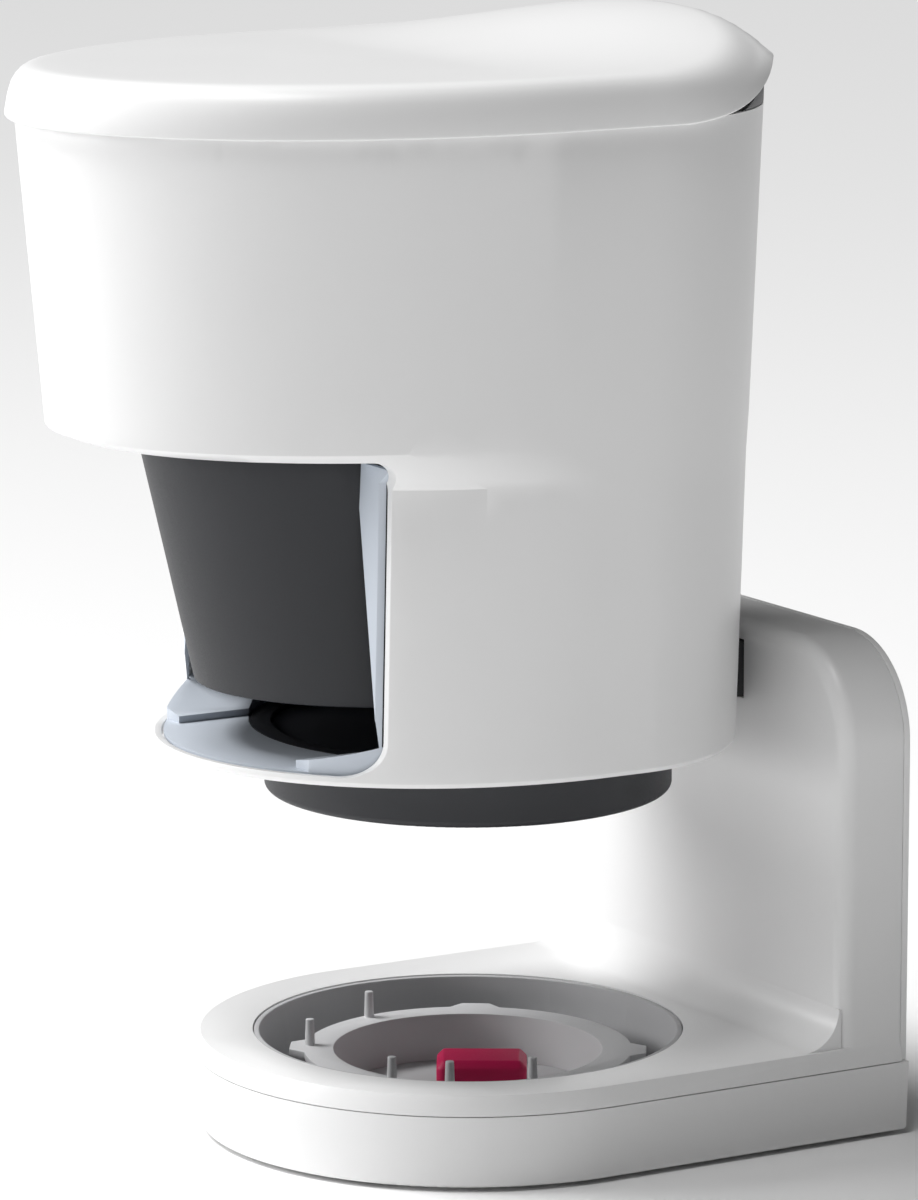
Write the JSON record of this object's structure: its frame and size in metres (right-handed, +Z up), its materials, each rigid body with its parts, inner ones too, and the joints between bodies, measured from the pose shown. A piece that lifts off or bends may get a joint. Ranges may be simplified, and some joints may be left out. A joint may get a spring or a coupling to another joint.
{
  "type": "automatic pet feeder",
  "caption": "Automatic pet feeder: round-nosed base with a bowl well, rear wall, overhanging food bin with hinged lid, front bay, feed funnel and a motorised portion rotor over the well.",
  "frame": {"origin": "on the floor, under the middle of the whole feeder's bounding box", "axes": "+Z up, front faces -Y, +X to the right seen from the front"},
  "size_m": [0.2124, 0.291, 0.3922],
  "materials": {
    "white_shell": "satin white moulding",
    "rubber": "matte",
    "screw_steel": "zinc plated",
    "grey_cup": "fine texture",
    "light_grey": "fine texture",
    "crimson": "satin",
    "spring_steel": "drawn wire",
    "dark_plastic": "fine texture",
    "board": "solder mask",
    "charcoal": "satin",
    "liner_grey": "fine texture",
    "shaft_steel": "ground",
    "brass": "sintered",
    "motor_can": "zinc plated",
    "deck_grey": "fine texture"
  },
  "bodies": {
    "stand": {"base_tray": "white_shell", "foot_pads": "rubber", "base_screws": "screw_steel", "base_housing": "white_shell", "wall_cover": "white_shell", "cover_screws": "screw_steel", "well_cup": "grey_cup", "bowl_ring": "light_grey", "button_spring": "spring_steel", "bowl_switch": "dark_plastic", "control_board": "board", "power_inlet": "dark_plastic", "neck_beam": "dark_plastic", "neck_screws": "screw_steel", "head_shell": "white_shell", "head_floor": "white_shell", "outlet_disc": "charcoal", "feed_funnel": "charcoal", "bay_liner": "liner_grey", "food_bin": "liner_grey", "rotor_cover": "charcoal", "rotor_bush": "brass", "gear_motor": "motor_can", "motor_screws": "screw_steel", "motor_cap": "charcoal", "rear_deck": "deck_grey", "hinge_pin": "shaft_steel"},
    "lid": {"lid_shell": "white_shell", "lid_liner": "liner_grey", "lid_seal": "rubber"},
    "rotor": {"portion_rotor": "light_grey", "rotor_shaft": "shaft_steel"},
    "bowl_key": {"bowl_button": "crimson"},
    "power_key": {"power_button": "light_grey"}
  },
  "joints": [
    {"name": "lid_hinge", "type": "hinge", "parent": "stand", "child": "lid", "pos_m": [0, 0.11, 0.3775], "axis": [-1, 0, 0], "range_deg": [0, 75]},
    {"name": "rotor_spin", "type": "hinge", "parent": "stand", "child": "rotor", "pos_m": [0, 0.023, 0.13], "axis": [0, 0, 1], "continuous": true},
    {"name": "bowl_press", "type": "slide", "parent": "stand", "child": "bowl_key", "axis": [0, 0, -1], "range_m": [0, 0.0025], "stiffness_N_per_m": 300, "deforming": ["button_spring"]},
    {"name": "power_press", "type": "slide", "parent": "stand", "child": "power_key", "axis": [0, -1, 0], "range_m": [0, 0.0008], "stiffness_N_per_m": 300}
  ]
}
